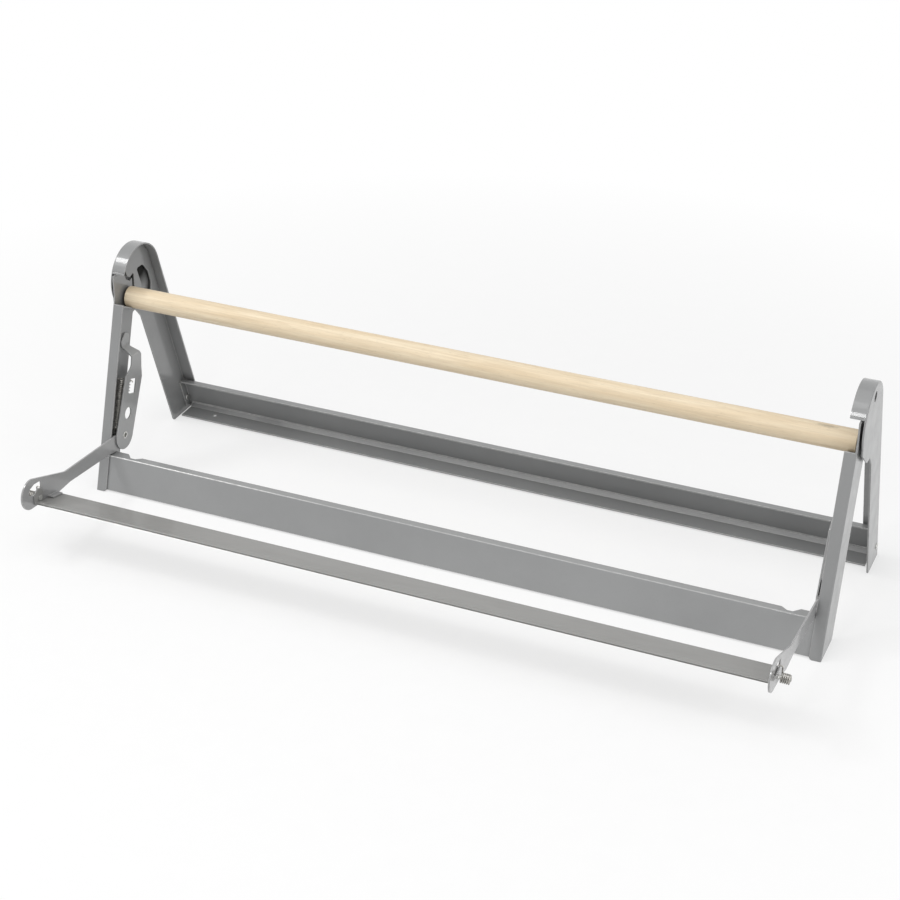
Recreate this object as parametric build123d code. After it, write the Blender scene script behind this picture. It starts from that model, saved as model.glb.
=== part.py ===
from build123d import *
from math import atan2, ceil, cos, degrees, hypot, pi, radians, sin, tan
import os

# Paper roll cutter: two folded sheet-steel stands joined by two rails, a wooden roll bar,
# and a sprung blade bar on two swing arms. Millimetres, X along the roll, Y to the rear, Z up.
# Sections are drawn with y = 0 under the roll bar and moved to the middle of the base at the end.

# Width of the machine
paper_width = 914.4
side_room = 39.8

# Sheet metal
sheet_t = 2.0
bend_r = 1.8
corner_r = 4.0
joint_gap = 0.1
leg_gap = 3.0

# Legs, seen from the side
leg_splay = 18.0
front_foot_y = -107.0
rear_foot_y = 156.5
leg_depth = 49.5
front_flange_w = 15.0
rear_flange_w = 19.5

# Head of the stand
head_z = 263.0
head_r = 46.0
head_gap = 0.5
hood_drop = 18.5
hood_lip = 3.0
hood_groove_r = 0.7
web_nose_y = -25.0
ear_floor_z = 213.0
lobe_floor_z = 209.0
lobe_start = 205.0
lobe_front_y = 13.0
lobe_corner = 8.0
head_hole_r = 6.5
head_hole_y = 21.0
head_hole_z = 294.0
dimple_r = 5.0
dimple_y = 31.0
dimple_z = 229.0
arch = [(32.0, 269.0), (48.0, 268.5), (60.0, 253.0), (65.0, 236.0), (62.5, 223.0), (42.0, 223.0), (40.5, 244.0)]
arch_corners = [2.5, 9.0, 12.0, 8.0, 6.0, 6.0, 12.0]
tongue_slot = [(1.7, 293.0), (1.9, 276.5), (6.2, 266.0), (14.0, 260.8), (21.5, 263.6), (20.8, 247.0)]
tongue_slot_w = 4.2
rim_r = 0.7

# Roll bar and its seats
bar_r = 14.29
bar_y = 4.0
bar_z = 240.5
bar_end_room = 3.6
bar_edge_r = 1.0
seat_room = 0.3
seat_start = 221.0
seat_end = 300.0
seat_lip_z = 242.0

# Rails
rail_foot_z = 2.0
front_rail_z = 47.1
front_rail_flange = 10.5
rail_ear = 3.0
notch_from_web = 34.0
notch_slope = 8.0
notch_floor = 7.0
notch_depth = 5.5
rear_rail_z = 51.5
rear_rail_flange = 10.5
shelf_depth = 34.0
bevel_z = 9.5
bevel_run = 5.0
bead_r = 0.9
rail_flap = 14.0
bench_hole_from_web = 45.2
bench_hole_from_shelf = 16.9
bench_hole_r = 3.0
rivet_r = 2.5
rivet_head_r = 4.0
rivet_head_h = 1.2
rivet_y = 141.0
rivet_z = 20.2

# Spring plate
plate_reach = 18.0
plate_end_r = 20.0
jog_low_z = 166.5
jog_high_z = 176.5
plate_edge = [
    (-42.5, 143.5), (-27.0, 152.5), (-22.3, 172.0), (-22.6, 184.5), (-12.8, 193.4),
    (1.5, 186.9), (-9.5, 174.0), (-1.4, 161.0), (-3.6, 142.0), (-4.0, 128.5),
]
plate_corners = {0: 4.0, 1: 8.0, 4: 3.0, 5: 7.0, 6: 3.0, 7: 3.0, 9: 5.0}
tooth_count = 5
tooth_depth = 3.0
hook_slot_w = 14.0
hook_slot_h = 20.5
hook_slot_y = -27.9
hook_slot_z = 124.2
hook_slot_tilt = -20.0
oval_y = -45.0
oval_z = 91.0
oval_long = 16.5
oval_short = 15.5
oval_tilt = 65.3

# Swing arms
pivot_y = -57.0
pivot_z = 63.5
pin_r = 5.0
pin_fit = 0.06
pin_bore_r = 3.0
arm_gap = 0.5
arm_t = 2.0
arm_tail_r = 16.0
arm_neck_y = -75.0
arm_neck_z = 70.9
arm_waist_y = -95.5
arm_waist_z = 51.4
arm_low_y = -188.9
arm_low_z = 60.7
arm_shoulder_y = -197.5
arm_shoulder_z = 80.2
arm_throat_y = -256.0
arm_throat_z = 66.0
arm_head_y = -273.9
arm_head_z = 87.6
arm_head_r = 20.3
arm_window = [(-5.1, 1.4), (-2.1, 7.9), (7.9, 10.4), (22.5, 8.4), (22.5, -3.6), (10.9, -6.6), (1.9, -3.6)]
tab_reach = 8.0
tab_front_y = -240.0
tab_rear_y = -219.0
spacer_r = 6.5
spacer_play = 0.3

# Blade bar
tilt_y = -259.0
tilt_z = 75.6
blade_pitch = 13.0
blade_depth = 51.0
blade_t = 1.5
blade_front_y = -267.8
blade_front_z = 70.2
hem_depth = 7.0
ear_r = 10.0
ear_y = -261.0
ear_z = 79.0
ear_t = 1.6
ear_gap = 0.4
strip_t = 0.6
strip_depth = 11.0
strip_proud = 0.2
tilt_pin_r = 2.6
tilt_pin_reach = 15.6
tilt_head_r = 3.8
tilt_head_h = 0.9

# Tension springs
wire_r = 0.9
coil_r = 5.4
coil_turns = 27.5
hook_low_y = -65.3
hook_low_z = 73.9
hook_hole_r = 1.3
hook_bend_r = 1.8
hook_proud = 2.2

# Blade return springs
return_wire_r = 0.8
return_coil_r = 5.4
return_pitch = 2.3
return_turns = 4.75
return_bend_r = 1.8
return_leg_z = 87.5
return_hook_turn = 0.07
wire_room = 0.15

# Levels along X, from the paper outwards
web_in = paper_width / 2 + side_room
web_out = web_in + sheet_t
rear_web_in = web_out + leg_gap
rear_web_out = rear_web_in + sheet_t
plate_in = web_in - plate_reach
plate_out = plate_in + sheet_t
arm_in = plate_out + arm_gap
arm_out = arm_in + arm_t
ear_out = arm_in - ear_gap
ear_in = ear_out - ear_t
bar_half = web_in - bar_end_room
spring_x = (arm_out + web_in) / 2

slope = tan(radians(leg_splay))
lean = cos(radians(leg_splay))
head_y = rear_foot_y - head_z * slope - head_r / lean


def front_y(z, inset=0.0):
    """Line of the front leg's outer face, moved inwards at right angles."""
    return front_foot_y + z * slope + inset / lean


def rear_y(z, inset=0.0):
    """Line of the rear leg's outer face, moved inwards at right angles."""
    return rear_foot_y - z * slope - inset / lean


def on_circle(centre, radius, angle):
    """Point on a circle, the angle in degrees from the first axis."""
    return (centre[0] + radius * cos(radians(angle)), centre[1] + radius * sin(radians(angle)))


def arc(centre, radius, start, end):
    """Arc of a circle through its start, middle and end."""
    middle = (start + end) / 2
    return ThreePointArc(*[on_circle(centre, radius, a) for a in (start, middle, end)])


def rounded(points, radius):
    """Closed outline with its corners rounded; radius is one value or one for each corner."""
    return make_face(FilletPolyline(*points, radius=radius, close=True))


def outline(edges):
    """Face inside a closed run of edges."""
    return make_face(edges)


def sheet(face, start_x, thickness):
    """Flat sheet that faces along X, from start_x outwards."""
    return extrude(Plane.YZ.offset(start_x) * face, amount=thickness, dir=(1, 0, 0))


def rod(y, z, radius, start_x, end_x):
    """Round bar along X."""
    return sheet(Pos(y, z) * Circle(radius), start_x, end_x - start_x)


def round_edge(part, point, radius):
    """Round the edge that lies nearest to a point."""
    return fillet(part.edges().sort_by_distance(point)[0], radius)


def round_corner(face, point, radius):
    """Round the corner of a sketch that lies nearest to a point."""
    return fillet(face.vertices().sort_by_distance((*point, 0))[0], radius)


def slot_between(start, end, width):
    """Slot with round ends from one point to another."""
    run = (end[0] - start[0], end[1] - start[1])
    middle = Pos((start[0] + end[0]) / 2, (start[1] + end[1]) / 2)
    return middle * Rot(0, 0, degrees(atan2(run[1], run[0]))) * SlotCenterToCenter(hypot(*run), width)


def round_rims(web):
    """Round the edges of the openings on the inner face of a web, as a press leaves them."""
    inner = web.faces().filter_by(Axis.X).sort_by(Axis.X)[0]
    rims = [edge for wire in inner.inner_wires() for edge in wire.edges()]
    return fillet(rims, rim_r)


def tangent_point(point, centre, radius, side):
    """Where a line from a point touches a circle, on its left (1) or right (-1) side."""
    away = hypot(point[0] - centre[0], point[1] - centre[1])
    base = degrees(atan2(point[1] - centre[1], point[0] - centre[0]))
    half = 90 - degrees(atan2(radius, (away**2 - radius**2) ** 0.5))
    return on_circle(centre, radius, base + side * half)


def make_front_leg():
    """Channel with the bar seat on its flange and the inner half of the head on its web."""
    web_head_r = head_r - sheet_t - head_gap
    step_z = head_z + hood_drop * (1 - sheet_t / head_r) - 2 * joint_gap
    step_angle = 180 - degrees(atan2(step_z - head_z, (web_head_r**2 - (step_z - head_z) ** 2) ** 0.5))
    rear_inset = sheet_t + head_gap
    head = (head_y, head_z)
    bottom = [
        on_circle(head, web_head_r, leg_splay),
        (rear_y(ear_floor_z, rear_inset), ear_floor_z),
        (front_y(ear_floor_z, leg_depth), ear_floor_z),
        (front_y(0, leg_depth), 0),
        (front_foot_y, 0),
        (web_nose_y, (web_nose_y - front_foot_y) / slope),
        (web_nose_y, step_z),
        on_circle(head, web_head_r, step_angle),
    ]
    face = outline([Polyline(*bottom), arc(head, web_head_r, step_angle, leg_splay)])
    for corner in (bottom[3], bottom[2], bottom[1]):
        face = round_corner(face, corner, corner_r)
    openings = rounded(arch, arch_corners)
    for start, end in zip(tongue_slot, tongue_slot[1:]):
        openings += slot_between(start, end, tongue_slot_w)
    web = sheet(face, web_in, sheet_t)
    web = round_rims(web - sheet(openings, web_in - 1, sheet_t + 2))

    flange_face = Polygon(
        (front_foot_y, 0),
        (front_y(seat_lip_z), seat_lip_z),
        (front_y(seat_lip_z, sheet_t), seat_lip_z),
        (front_y(0, sheet_t), 0),
        align=None,
    )
    flange = sheet(flange_face, web_out - front_flange_w, front_flange_w)
    seat = sheet(seat_face(), web_out - front_flange_w, front_flange_w - sheet_t)
    leg = web + flange + seat
    leg = round_edge(leg, (web_out, front_y(seat_lip_z / 2), seat_lip_z / 2), bend_r)
    leg = round_edge(leg, (web_out - front_flange_w, front_y(0, sheet_t / 2), 0), corner_r)
    return leg


def seat_face():
    """Section of the seat: a ramp from the lip of the flange, then a cradle under the bar."""
    centre = (bar_y, bar_z)
    inner_r = bar_r + seat_room
    outer_r = inner_r + sheet_t
    lip_y = front_y(seat_lip_z)
    lip_in = (lip_y + sheet_t * 0.5, seat_lip_z)
    lip_low = (front_y(seat_lip_z - sheet_t), seat_lip_z - sheet_t)
    edges = [
        Line(lip_in, on_circle(centre, inner_r, seat_start)),
        arc(centre, inner_r, seat_start, seat_end),
        Line(on_circle(centre, inner_r, seat_end), on_circle(centre, outer_r, seat_end)),
        arc(centre, outer_r, seat_end, seat_start),
        Line(on_circle(centre, outer_r, seat_start), lip_low),
        Line(lip_low, (lip_y, seat_lip_z)),
        Line((lip_y, seat_lip_z), lip_in),
    ]
    return outline(edges)


def make_rear_leg():
    """Channel whose web ends in the round head, with the flange carried over it as a hood."""
    head = (head_y, head_z)
    hood_end = 180 - degrees(atan2(hood_drop, (head_r**2 - hood_drop**2) ** 0.5))
    web_front = on_circle(head, head_r, lobe_start)
    notch_z = lobe_floor_z - 2 * lobe_corner
    points = [
        web_front,
        (web_front[0], web_front[1] - lobe_corner),
        (lobe_front_y, lobe_floor_z),
        (rear_y(lobe_floor_z, leg_depth) - lobe_corner, lobe_floor_z),
        (rear_y(notch_z, leg_depth), notch_z),
        (rear_y(0, leg_depth), 0),
        (rear_foot_y, 0),
        on_circle(head, head_r, leg_splay),
    ]
    face = outline([Polyline(*points), arc(head, head_r, leg_splay, lobe_start)])
    for corner, radius in ((2, 3 * corner_r), (1, corner_r), (4, lobe_corner), (5, corner_r)):
        face = round_corner(face, points[corner], radius)
    face -= Pos(head_hole_y, head_hole_z) * Circle(head_hole_r)
    face -= Pos(rivet_y, rivet_z) * Circle(rivet_r + joint_gap / 2)
    web = sheet(face, rear_web_in, sheet_t)

    inner_r = head_r - sheet_t
    flange_face = outline([
        Line((rear_foot_y, 0), on_circle(head, head_r, leg_splay)),
        arc(head, head_r, leg_splay, hood_end),
        Line(on_circle(head, head_r, hood_end), on_circle(head, inner_r, hood_end)),
        arc(head, inner_r, hood_end, leg_splay),
        Line(on_circle(head, inner_r, leg_splay), (rear_y(0, sheet_t), 0)),
        Line((rear_y(0, sheet_t), 0), (rear_foot_y, 0)),
    ])
    flange = sheet(flange_face, rear_web_out - rear_flange_w, rear_flange_w)
    groove_angle = hood_end - degrees(hood_lip / head_r)
    groove = on_circle(head, head_r, groove_angle)
    flange -= rod(*groove, hood_groove_r, rear_web_out - rear_flange_w - 1, rear_web_out + 1)
    leg = web + flange
    leg = round_edge(leg, (rear_web_out, rear_y(head_z / 2), head_z / 2), bend_r)
    leg = round_edge(leg, (rear_web_out - rear_flange_w, rear_y(0, sheet_t / 2), 0), corner_r)
    return leg + rod(dimple_y, dimple_z, dimple_r, web_out + joint_gap, rear_web_in + sheet_t / 2)


def make_front_rail():
    """Inclined wall behind the leg flanges with a flange folded to the rear at its top."""
    inset = sheet_t + joint_gap
    top_y = front_y(front_rail_z, inset)
    deep = front_rail_flange + rail_ear
    section = Polygon(
        (front_y(rail_foot_z, inset), rail_foot_z),
        (top_y, front_rail_z),
        (top_y + deep, front_rail_z),
        (top_y + deep, front_rail_z - sheet_t),
        (front_y(front_rail_z - sheet_t, inset + sheet_t), front_rail_z - sheet_t),
        (front_y(rail_foot_z, inset + sheet_t), rail_foot_z),
        align=None,
    )
    half = web_in - joint_gap
    rail = sheet(section, -half, 2 * half)
    rear_edge = top_y + deep
    edge_y = rear_edge - rail_ear
    outer = web_in - notch_from_web
    steps = [
        (outer, rear_edge + sheet_t),
        (outer, rear_edge),
        (outer - notch_slope, edge_y - notch_depth),
        (outer - notch_slope - notch_floor, edge_y - notch_depth),
        (outer - 2 * notch_slope - notch_floor, edge_y),
    ]
    bay = outline(Polyline(*steps, *[(-x, y) for x, y in reversed(steps)], close=True))
    rail -= extrude(Plane.XY.offset(front_rail_z - 2 * sheet_t) * bay, amount=3 * sheet_t)
    return round_edge(rail, (0, top_y, front_rail_z), bend_r)


def make_rear_rail():
    """Channel with a shelf on the counter side, a bevel, an inclined wall and a top flange."""
    inset = sheet_t + joint_gap
    wall_foot_y = rear_y(bevel_z, inset)
    shelf_z = rail_foot_z + sheet_t
    top_y = rear_y(rear_rail_z, inset)
    shelf_front = wall_foot_y - shelf_depth
    section = Polygon(
        (shelf_front, rail_foot_z),
        (wall_foot_y - bevel_run + 1, rail_foot_z),
        (wall_foot_y, bevel_z - sheet_t),
        (wall_foot_y, bevel_z),
        (top_y, rear_rail_z),
        (top_y - rear_rail_flange, rear_rail_z),
        (top_y - rear_rail_flange, rear_rail_z - sheet_t),
        (rear_y(rear_rail_z - sheet_t, inset + sheet_t), rear_rail_z - sheet_t),
        (rear_y(bevel_z, inset + sheet_t), bevel_z),
        (wall_foot_y - sheet_t - bevel_run, shelf_z),
        (shelf_front, shelf_z),
        align=None,
    )
    half = web_in - joint_gap
    rail = sheet(section, -half, 2 * half)
    rail = round_edge(rail, (0, top_y, rear_rail_z), bend_r)
    rail += rod(rear_y(bevel_z, inset + sheet_t), bevel_z, bead_r, -half, half)
    flap_face = Polygon(
        (rear_y(bevel_z, inset), bevel_z),
        (rear_y(rear_rail_z - sheet_t, inset), rear_rail_z - sheet_t),
        (rear_y(rear_rail_z - sheet_t, inset) - rail_flap, rear_rail_z - sheet_t),
        (rear_y(bevel_z, inset) - rail_flap, bevel_z),
        align=None,
    )
    flap_x = rear_web_in - joint_gap
    wall = section & Pos(0, bevel_z + rear_rail_z / 2) * Rectangle(4 * rear_foot_y, rear_rail_z)
    for side in (-1, 1):
        link = sheet(wall, side * half if side > 0 else -flap_x, flap_x - half)
        flap = sheet(flap_face, flap_x - sheet_t if side > 0 else -flap_x, sheet_t)
        rail += link + flap
        hole_x = side * (web_in - bench_hole_from_web)
        rail -= Pos(hole_x, shelf_front + bench_hole_from_shelf, shelf_z) * Cylinder(bench_hole_r, 3 * sheet_t)
    reach = flap_x + sheet_t
    rail -= rod(rivet_y, rivet_z, rivet_r + joint_gap / 2, half, reach)
    rail -= rod(rivet_y, rivet_z, rivet_r + joint_gap / 2, -reach, -half)
    return rail


def make_rail_rivet():
    """Rivet that holds the flap of the rear rail to the web of the rear leg."""
    flap_x = rear_web_in - joint_gap - sheet_t
    rivet = rod(rivet_y, rivet_z, rivet_r, flap_x - rivet_head_h, rear_web_out + rivet_head_h)
    inner = rod(rivet_y, rivet_z, rivet_head_r, flap_x - joint_gap - rivet_head_h, flap_x - joint_gap)
    outer_x = rear_web_out + joint_gap
    outer = rod(rivet_y, rivet_z, rivet_head_r, outer_x, outer_x + rivet_head_h)
    rivet = rivet + inner + outer
    rivet = fillet(rivet.edges().sort_by(Axis.X)[0], 0.8 * rivet_head_h)
    return fillet(rivet.edges().sort_by(Axis.X)[-1], 0.8 * rivet_head_h)


def make_roll_bar():
    """Plain wooden dowel with its ends just inside the webs."""
    bar = rod(bar_y, bar_z, bar_r, -bar_half, bar_half)
    ends = bar.edges().filter_by(GeomType.CIRCLE)
    return fillet(ends, bar_edge_r)


def make_spring_plate():
    """Stamped plate: a tab on the leg's web, a jog inwards, and the long blade of the plate."""
    pivot = (pivot_y, pivot_z)
    body = outline(Polyline(
        tangent_point(plate_edge[0], pivot, plate_end_r, 1),
        *plate_edge,
        tangent_point(plate_edge[-1], pivot, plate_end_r, -1),
        pivot,
        close=True,
    ))
    body += Pos(*pivot) * Circle(plate_end_r)
    for corner, radius in plate_corners.items():
        body = round_corner(body, plate_edge[corner], radius)
    body -= Pos(*pivot) * Circle(pin_r + joint_gap / 2)
    body -= Pos(oval_y, oval_z) * Rot(0, 0, oval_tilt) * SlotOverall(oval_long, oval_short)
    body -= hook_slot()

    outer_x = web_in - joint_gap
    strip = Polygon(
        (plate_in, 0),
        (plate_in, jog_low_z),
        (outer_x - sheet_t, jog_high_z),
        (outer_x - sheet_t, head_z),
        (outer_x, head_z),
        (outer_x, jog_high_z - sheet_t / 2),
        (plate_out, jog_low_z - sheet_t / 2),
        (plate_out, 0),
        align=None,
    )
    bent = extrude(Plane.XZ * strip, amount=head_z, both=True)
    return bent & sheet(body, plate_in - 1, plate_reach + 2)


def hook_slot():
    """Slanted slot with teeth on its front edge, where the spring hook is moved for tension."""
    tooth = hook_slot_h / tooth_count
    slot = Rectangle(hook_slot_w, hook_slot_h)
    for i in range(tooth_count):
        level = hook_slot_h / 2 - (i + 0.5) * tooth
        bite = Polygon(
            (-hook_slot_w / 2 - tooth_depth, level + 0.35 * tooth),
            (-hook_slot_w / 2 + 0.5, level + 0.35 * tooth),
            (-hook_slot_w / 2 + 0.5, level - 0.45 * tooth),
            (-hook_slot_w / 2 - tooth_depth, level - 0.05 * tooth),
            align=None,
        )
        slot += bite
    return Pos(hook_slot_y, hook_slot_z) * Rot(0, 0, hook_slot_tilt) * slot


def top_tooth():
    """Middle of the wire where the hook sits in the top tooth of the slot."""
    across = -hook_slot_w / 2
    up = hook_slot_h / 2 - hook_slot_h / tooth_count / 2 - joint_gap
    turn = radians(hook_slot_tilt)
    y = hook_slot_y + across * cos(turn) - up * sin(turn)
    return (y, hook_slot_z + across * sin(turn) + up * cos(turn))


def make_pivot_pin():
    """Tubular rivet through spring plate, arm and spacer into the leg's web."""
    pin = rod(pivot_y, pivot_z, pin_r, plate_in - 0.8, web_in)
    pin -= rod(pivot_y, pivot_z, pin_bore_r, plate_in - 2, plate_in + 4)
    ring = pin.edges().filter_by(GeomType.CIRCLE).sort_by(Axis.X)[0:2]
    return fillet(ring, 0.4)


def make_spacer():
    """Bush that keeps the arm away from the leg's web."""
    start = arm_out + spacer_play
    bush = rod(pivot_y, pivot_z, spacer_r, start, web_in - joint_gap)
    return bush - rod(pivot_y, pivot_z, pin_r + pin_fit, start - 1, web_in + 1)


def make_arm():
    """Stamped arm: round tail on the pivot, straight band, cheek and round head."""
    pivot = (pivot_y, pivot_z)
    head = (arm_head_y, arm_head_z)
    stop_z = front_rail_z + seat_room
    rail_rear = front_y(front_rail_z, sheet_t + joint_gap) + front_rail_flange + rail_ear
    throat = (arm_throat_y, arm_throat_z)
    shoulder = (arm_shoulder_y, arm_shoulder_z)
    band = outline(Polyline(
        (pivot_y, pivot_z - arm_tail_r),
        (rail_rear, stop_z),
        (arm_waist_y, arm_waist_z),
        (arm_low_y, arm_low_z),
        (tab_rear_y, blade_top_z(tab_rear_y) - sheet_t / 2),
        (tab_front_y, blade_top_z(tab_front_y) - sheet_t / 2),
        throat,
        tangent_point(throat, head, arm_head_r, -1),
        head,
        tangent_point(shoulder, head, arm_head_r, 1),
        shoulder,
        (arm_neck_y, arm_neck_z),
        pivot,
        close=True,
    ))
    face = band + Pos(*head) * Circle(arm_head_r) + Pos(*pivot) * Circle(arm_tail_r)
    face = round_corner(face, shoulder, arm_tail_r)
    face -= Pos(*pivot) * Circle(pin_r + pin_fit)
    face -= Pos(tilt_y, tilt_z) * Circle(tilt_pin_r + pin_fit)
    face -= Pos(hook_low_y, hook_low_z) * Circle(hook_hole_r)
    face -= rounded([(arm_head_y + y, arm_head_z + z) for y, z in arm_window], 1.5)
    arm = sheet(face, arm_in, arm_t)

    tab_y = (tab_front_y, tab_rear_y)
    tab_low = [blade_top_z(y) + seat_room for y in tab_y]
    tab = Polygon(
        (tab_y[0], tab_low[0]),
        (tab_y[1], tab_low[1]),
        (tab_y[1], tab_low[1] + sheet_t),
        (tab_y[0], tab_low[0] + sheet_t),
        align=None,
    )
    return arm + sheet(tab, arm_in - tab_reach, tab_reach + arm_t / 2)


def blade_top_z(y):
    """Height of the blade bar's upper face at a distance from the front."""
    pitch = radians(blade_pitch)
    return blade_front_z + blade_t / cos(pitch) - (y - blade_front_y) * tan(pitch)


def on_blade(face):
    """Place a section drawn along the blade bar, its front edge at the origin."""
    return Pos(blade_front_y, blade_front_z) * Rot(0, 0, -blade_pitch) * face


def in_blade(y, z):
    """Distance behind the blade's front edge and height over its lower face."""
    pitch = radians(blade_pitch)
    dy = y - blade_front_y
    dz = z - blade_front_z
    return (dy * cos(pitch) - dz * sin(pitch), dy * sin(pitch) + dz * cos(pitch))


def make_blade_bar():
    """Sheet bar with its front edge folded back on top, and an upright ear at each end."""
    plate = Polygon(
        (blade_t, 0), (blade_depth, 0), (blade_depth, blade_t), (hem_depth, blade_t),
        (hem_depth, 2 * blade_t), (blade_t, 2 * blade_t), align=None,
    )
    section = plate + Pos(blade_t, blade_t) * Circle(blade_t)
    bar = sheet(on_blade(section), -ear_out, 2 * ear_out)
    centre = in_blade(ear_y, ear_z)
    ear = Pos(*centre) * Circle(ear_r) + Pos(centre[0], centre[1] / 2) * Rectangle(1.6 * ear_r, centre[1])
    ear &= Pos(0, 5 * ear_r) * Rectangle(10 * ear_r, 10 * ear_r)
    ear = on_blade(ear)
    for start in (-ear_out, ear_in):
        bar += sheet(ear, start, ear_t)
    return bar - rod(tilt_y, tilt_z, tilt_pin_r + joint_gap / 2, -web_in, web_in)


def make_cutting_strip():
    """Thin strip under the hem with a ground front edge."""
    low = -joint_gap - strip_t
    section = Polygon(
        (-strip_proud, -joint_gap - strip_t * 0.3),
        (0, -joint_gap),
        (strip_depth, -joint_gap),
        (strip_depth, low),
        (0.8, low),
        align=None,
    )
    return sheet(on_blade(section), -ear_out, 2 * ear_out)


def make_tilt_pin():
    """Pin from the blade's ear through the arm, slotted at its end for the return spring."""
    end_x = arm_out + tilt_pin_reach
    pin = rod(tilt_y, tilt_z, tilt_pin_r, ear_in - tilt_head_h, end_x)
    pin += rod(tilt_y, tilt_z, tilt_head_r, ear_in - joint_gap - tilt_head_h, ear_in - joint_gap)
    last_x = return_start_x() + return_turns * return_pitch
    slot_w = 2 * (return_wire_r + wire_room)
    length = end_x - last_x + slot_w
    slot = Pos(last_x - slot_w / 2 + length / 2, 0, 0) * Box(length, 2 * slot_w + 4 * tilt_pin_r, slot_w)
    return pin - Pos(0, tilt_y, tilt_z) * Rot(return_end_angle(), 0, 0) * slot


def return_start_x():
    """Level of the first turn of the return spring."""
    return arm_out + 2 * return_bend_r


def return_end_angle():
    """Angle in degrees, about X, at which the wire enters the pin."""
    return -360.0 * ((return_turns + return_hook_turn) % 1)


def biarc(start, start_dir, end, end_dir):
    """Two arcs that meet smoothly and leave and arrive along given directions."""
    chord = end - start
    total = start_dir + end_dir
    a = 2 * (1 - start_dir.dot(end_dir))
    b = chord.dot(total)
    c = chord.dot(chord)
    reach = c / (2 * b) if abs(a) < 1e-6 else (-b + (b * b + a * c) ** 0.5) / a
    leave = start + start_dir * reach
    arrive = end - end_dir * reach
    middle = (leave + arrive) * 0.5
    first = TangentArc(start, middle, tangent=start_dir)
    second = TangentArc(middle, end, tangent=(arrive - leave))
    return [first, second]


def helix_run(origin, axes, radius, pitch, turns, steps_per_turn):
    """Points and directions along a helix: axes are two radial directions and the axis."""
    count = ceil(turns * steps_per_turn)
    frames = []
    for i in range(count + 1):
        angle = 2 * pi * turns * i / count
        point = origin + axes[0] * (radius * cos(angle)) + axes[1] * (radius * sin(angle))
        point += axes[2] * (pitch * angle / (2 * pi))
        heading = axes[1] * (radius * cos(angle)) - axes[0] * (radius * sin(angle))
        heading += axes[2] * (pitch / (2 * pi))
        frames.append((point, heading.normalized()))
    return frames


def join(frames):
    """Smooth run of biarcs and straights through points with given directions."""
    edges = []
    for (start, start_dir), (end, end_dir) in zip(frames, frames[1:]):
        chord = (end - start).normalized()
        if chord.dot(start_dir) > 1 - 1e-9 and chord.dot(end_dir) > 1 - 1e-9:
            edges.append(Line(start, end))
        else:
            edges += biarc(start, start_dir, end, end_dir)
    return edges


def wire_form(name, frames, radius):
    """Round wire along a smooth run, with its least gap to itself printed."""
    edges = join(frames)
    path = Wire(edges)
    points = []
    for edge in edges:
        count = max(2, ceil(edge.length / radius))
        points += [edge @ (i / count) for i in range(count)]
    step = path.length / len(points)
    skip = ceil(5 * radius / step) + 1
    least = min(
        (points[i] - points[j]).length
        for i in range(len(points))
        for j in range(i + skip, len(points))
    )
    tube = sweep(Plane(origin=edges[0] @ 0, z_dir=edges[0] % 0) * Circle(radius), path=path)
    share = tube.volume / (pi * radius**2 * path.length)
    print(f"{name}: wire {path.length:.1f} mm, least gap {least - 2 * radius:.2f} mm, volume share {share:.4f}")
    return tube


def make_tension_spring():
    """Extension spring in the side pocket, with its ends straight off the coil's two sides."""
    top = Vector(spring_x, *top_tooth())
    low = Vector(spring_x, hook_low_y, hook_low_z)
    out = Vector(1, 0, 0)
    up = Vector(0, 0, 1)
    chord = low - top
    length = (chord.length**2 - 4 * coil_r**2) ** 0.5
    turn = atan2(chord.Z, chord.Y) + atan2(2 * coil_r, length)
    along = Vector(0, cos(turn), sin(turn))
    across = out.cross(along)
    turns = helix_run(
        top - across * coil_r, (across, out, along), coil_r, length / coil_turns, coil_turns, 2,
    )
    straight = 2 * wire_r
    corner = Vector(plate_in - hook_proud, top.Y, top.Z)
    frames = [
        (corner - up * (hook_bend_r + straight), up),
        (corner - up * hook_bend_r, up),
        (corner + out * hook_bend_r, out),
        (top - out * straight, out),
    ]
    frames += turns
    frames += [
        (low - out * straight, -out),
        (Vector(arm_in + arm_t / 3, low.Y, low.Z), -out),
    ]
    return wire_form("tension spring", frames, wire_r)


def make_return_spring():
    """Torsion spring round the tilt pin: a leg through the arm's window, coil, end in the pin."""
    centre = Vector(0, tilt_y, tilt_z)
    out = Vector(1, 0, 0)
    rear = Vector(0, 1, 0)
    down = Vector(0, 0, -1)
    start_x = return_start_x()
    coil_start = centre + out * start_x
    turns = helix_run(coil_start, (rear, down, out), return_coil_r, return_pitch, return_turns, 4)
    leg_top = Vector(arm_in + 0.6, tilt_y + return_coil_r, return_leg_z)
    bend_in = Vector(start_x - return_bend_r, leg_top.Y, leg_top.Z)
    end_turn = radians(return_end_angle())
    radial = Vector(0, cos(end_turn), sin(end_turn))
    pin_middle = Vector(turns[-1][0].X, tilt_y, tilt_z)
    corner = pin_middle + radial * (return_coil_r - return_bend_r)
    corner_end = corner - radial * 2 * return_wire_r
    frames = [
        (leg_top, out),
        (bend_in, out),
        (bend_in + (out + down) * return_bend_r, down),
        (coil_start + rear * return_coil_r - down * 2 * return_wire_r, down),
    ]
    frames += turns
    frames += [(corner, -radial), (corner_end, -radial)]
    return wire_form("return spring", frames, return_wire_r)


y_shift = -((arm_head_y - arm_head_r) + rear_foot_y) / 2
os.makedirs("parts", exist_ok=True)


def save(name, *solids):
    """Write one node, moved to the middle of the base."""
    placed = [Pos(0, y_shift, 0) * solid for solid in solids]
    shape = placed[0] if len(placed) == 1 else Compound(children=placed)
    export_step(shape, f"parts/{name}.step")


def save_pair(name, solid):
    """Write a right-hand piece and its mirror image as the left-hand one."""
    save(f"{name}_right", solid)
    save(f"{name}_left", mirror(solid, about=Plane.YZ))


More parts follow.
